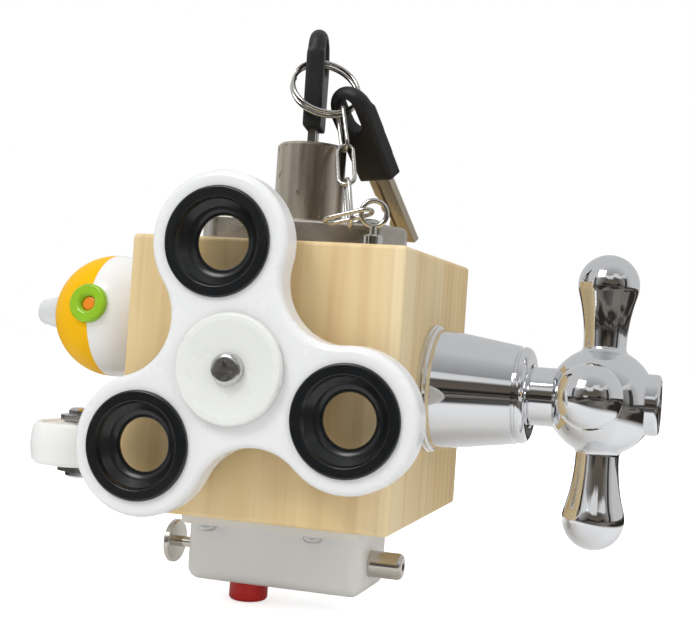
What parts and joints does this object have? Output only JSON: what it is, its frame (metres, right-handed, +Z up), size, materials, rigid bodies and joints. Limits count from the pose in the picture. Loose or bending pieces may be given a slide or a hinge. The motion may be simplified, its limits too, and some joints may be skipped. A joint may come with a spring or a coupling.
{
  "type": "busy cube",
  "caption": "Wooden activity cube: three-lobed spinner, tap with cross handle, cam lock with keys on a chain, turning ball, caster wheel and push-bolt.",
  "frame": {"origin": "centre of the cube's bare back face", "axes": "+Y out of the bare back face, +Z up towards the lock, +X towards the tap"},
  "size_m": [0.1487, 0.0781, 0.1354],
  "materials": {
    "wood": "satin",
    "white_plastic": "gloss",
    "cap_plastic": "gloss",
    "black_plastic": "gloss",
    "key_black": "matte",
    "chrome": "polished",
    "nickel": "satin",
    "steel": "satin",
    "key_metal": "satin",
    "yellow_plastic": "gloss",
    "green_plastic": "gloss",
    "orange_plastic": "gloss",
    "frosted_plastic": "frosted",
    "red_plastic": "gloss",
    "nylon": "matte"
  },
  "bodies": {
    "cube": {"wood_block": "wood", "spinner_screw": "steel", "spinner_washer": "white_plastic", "spinner_rear_cap": "cap_plastic", "spinner_front_cap": "cap_plastic", "bearing_inner_race": "steel", "tap_base_ring": "chrome", "tap_bell": "chrome", "tap_valve_body": "nickel", "lock_case": "nickel", "lock_cylinder": "nickel", "lock_screws": "steel", "screw_eye": "nickel", "chain": "nickel", "bolt_case": "white_plastic", "bolt_case_screws": "steel", "caster_bracket": "steel", "caster_axle": "steel", "caster_screws": "steel", "ball_bush": "nylon", "ball_axle_screw": "steel"},
    "spinner": {"spinner_body": "white_plastic", "spinner_ring_1": "black_plastic", "spinner_ring_2": "black_plastic", "spinner_ring_3": "black_plastic", "bearing_outer_race": "steel"},
    "bearing_set": {"bearing_balls": "steel", "bearing_cage": "nylon"},
    "tap_turning": {"tap_handle": "chrome", "tap_spindle": "nickel", "tap_index_cap": "chrome", "tap_handle_screw": "steel"},
    "key_plug": {"lock_plug": "nickel", "key_1_bow": "key_black", "key_1_blade": "key_metal", "key_ring": "nickel"},
    "spare_key": {"key_2_bow": "key_black", "key_2_blade": "key_metal"},
    "lock_bolt": {"lock_bolt": "nickel"},
    "latch_bolt": {"latch_bolt": "nickel"},
    "release_button": {"release_button": "red_plastic"},
    "caster_wheel": {"caster_wheel": "frosted_plastic"},
    "ball": {"ball_outer": "yellow_plastic", "ball_inner": "white_plastic", "ball_nub": "frosted_plastic", "ball_eyelet": "green_plastic", "ball_bead": "orange_plastic"}
  },
  "joints": [
    {"name": "spinner_spin", "type": "hinge", "parent": "cube", "child": "spinner", "pos_m": [-0.00025, -0.0709, 0.0025], "axis": [0, -1, 0], "continuous": true},
    {"name": "bearing_orbit", "type": "hinge", "parent": "cube", "child": "bearing_set", "pos_m": [-0.00025, -0.0709, 0.0025], "axis": [0, -1, 0], "continuous": true},
    {"name": "tap_turn", "type": "hinge", "parent": "cube", "child": "tap_turning", "pos_m": [0.0695, -0.033, 0], "axis": [1, 0, 0], "range_deg": [0, 180]},
    {"name": "key_turn", "type": "hinge", "parent": "cube", "child": "key_plug", "pos_m": [-0.0022, -0.031, 0.055], "axis": [0, 0, 1], "range_deg": [0, 90], "deforming": ["chain"]},
    {"name": "lock_bolt_slide", "type": "slide", "parent": "cube", "child": "lock_bolt", "axis": [-0.2079, 0.9781, 0], "range_m": [0, 0.0064]},
    {"name": "spare_key_swing", "type": "hinge", "parent": "key_plug", "child": "spare_key", "pos_m": [0.00745, -0.03259, 0.06393], "axis": [-0.3321, -0.7135, -0.617], "range_deg": [0, 60]},
    {"name": "latch_bolt_slide", "type": "slide", "parent": "cube", "child": "latch_bolt", "axis": [1, 0, 0], "range_m": [-0.0095, 0]},
    {"name": "button_press", "type": "slide", "parent": "cube", "child": "release_button", "axis": [0, 0, 1], "range_m": [0, 0.0025], "stiffness_N_per_m": 600, "springref_m": -0.001},
    {"name": "caster_roll", "type": "hinge", "parent": "cube", "child": "caster_wheel", "pos_m": [-0.0511, -0.043, -0.0188], "axis": [0, 0, 1], "continuous": true},
    {"name": "ball_turn", "type": "hinge", "parent": "cube", "child": "ball", "pos_m": [-0.0459, -0.03875, 0.0117], "axis": [1, 0, 0], "continuous": true}
  ],
  "couplings": [
    {"joint": "bearing_orbit", "follows": "spinner_spin", "ratio": 0.62757},
    {"joint": "lock_bolt_slide", "follows": "key_turn", "m_per_rad": 0.004051}
  ]
}
